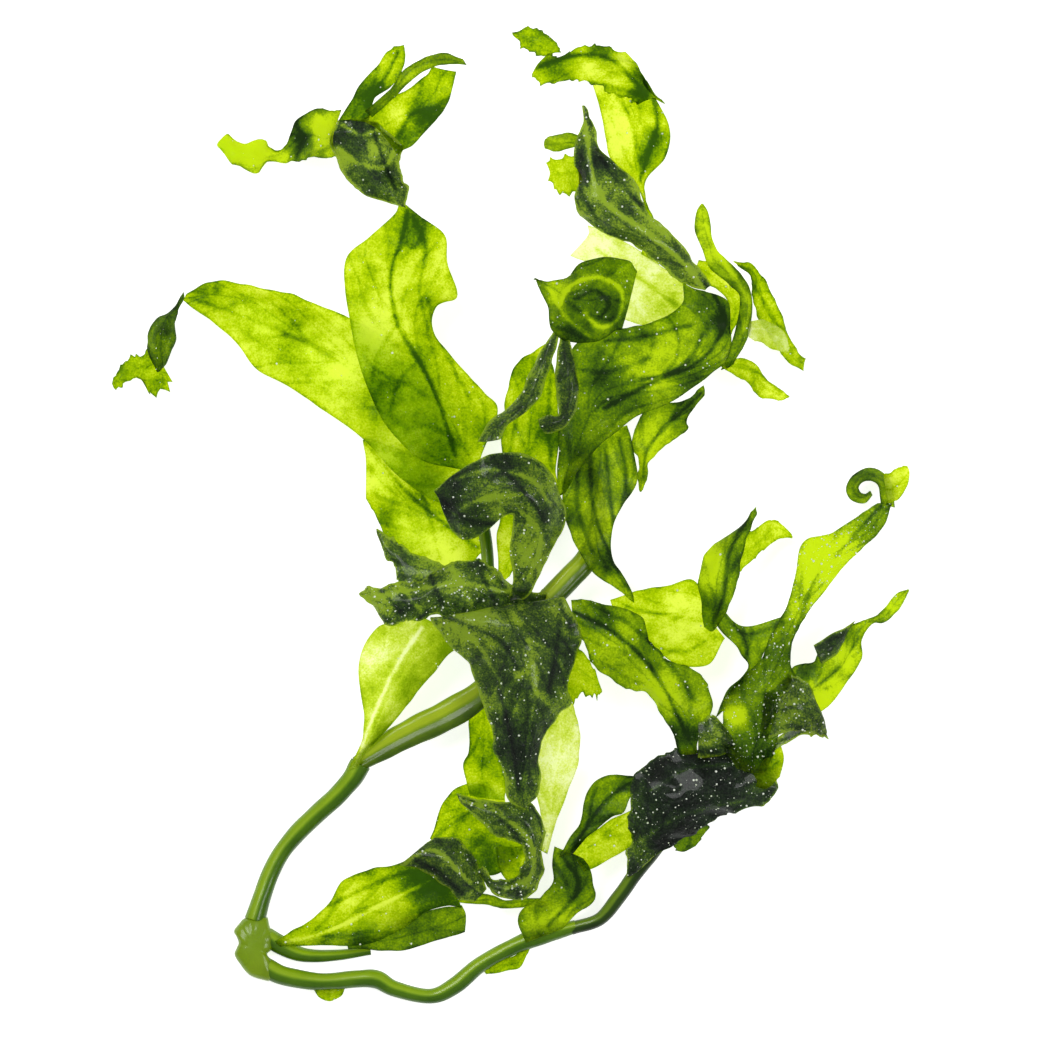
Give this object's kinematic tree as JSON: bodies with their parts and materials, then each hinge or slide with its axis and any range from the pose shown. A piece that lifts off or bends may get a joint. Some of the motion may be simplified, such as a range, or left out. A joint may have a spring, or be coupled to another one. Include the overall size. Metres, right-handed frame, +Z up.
{
  "type": "seaweed",
  "caption": "Cut frond of green seaweed lying flat, with forked stipes and thin, curled, translucent blades.",
  "frame": {"origin": "middle of the frond's outline on the surface that it lies on", "axes": "+Z up from the surface, +Y from the cut base towards the crowns, +X to the right seen from above"},
  "size_m": [0.239, 0.2916, 0.0399],
  "materials": {
    "stipe": "wet, smooth and fleshy",
    "light_blade": "wet and translucent, yellow-green",
    "green_blade": "wet and translucent, mid green",
    "dark_blade": "wet and glossy, dark green"
  },
  "bodies": {
    "root": {"base_junction": "stipe", "left_stipe": "stipe", "middle_stipe": "stipe", "lower_stipe": "stipe", "left_branch": "stipe", "right_stem": "stipe", "upper_stem": "stipe", "dark_stem": "light_blade", "left_leaf": "light_blade", "tall_blade": "light_blade", "long_left_blade": "light_blade", "low_left_blade": "light_blade", "left_tip_curl": "dark_blade", "left_tip_claw": "light_blade", "crown_cup": "dark_blade", "crown_upper_blade": "green_blade", "crown_left_ribbon": "green_blade", "crown_right_blade": "light_blade", "crown_top_ribbon": "dark_blade", "dark_upper_ribbon": "dark_blade", "top_blade": "light_blade", "crest": "green_blade", "oak_tip": "light_blade", "olive_blade": "green_blade", "striped_blade": "light_blade", "cup_blade": "green_blade", "back_blade": "light_blade", "curled_leaf": "green_blade", "yellow_fold": "light_blade", "vertical_curl": "dark_blade", "ribbon_finger": "dark_blade", "long_finger": "light_blade", "low_finger": "light_blade", "strap": "dark_blade", "head_curl": "dark_blade", "toothed_blade": "dark_blade", "crinkled_blade": "dark_blade", "hanging_blade": "dark_blade", "back_strip": "light_blade", "pale_blade": "light_blade", "middle_leaf": "green_blade", "under_leaf": "dark_blade", "round_cap": "dark_blade", "bright_lobe": "light_blade", "spiral_curl": "dark_blade", "bottom_strip": "dark_blade", "twisted_leaf": "green_blade", "lower_right_leaf": "green_blade", "dark_mass": "dark_blade", "glossy_fan": "dark_blade", "ridged_blade": "dark_blade", "pale_right_blade": "light_blade", "twisting_tip": "dark_blade", "bright_tip": "light_blade", "web": "dark_blade", "right_branch": "dark_blade", "rolled_tip": "dark_blade", "lobed_blade": "green_blade", "spiky_leaf": "dark_blade"}
  },
  "joints": []
}
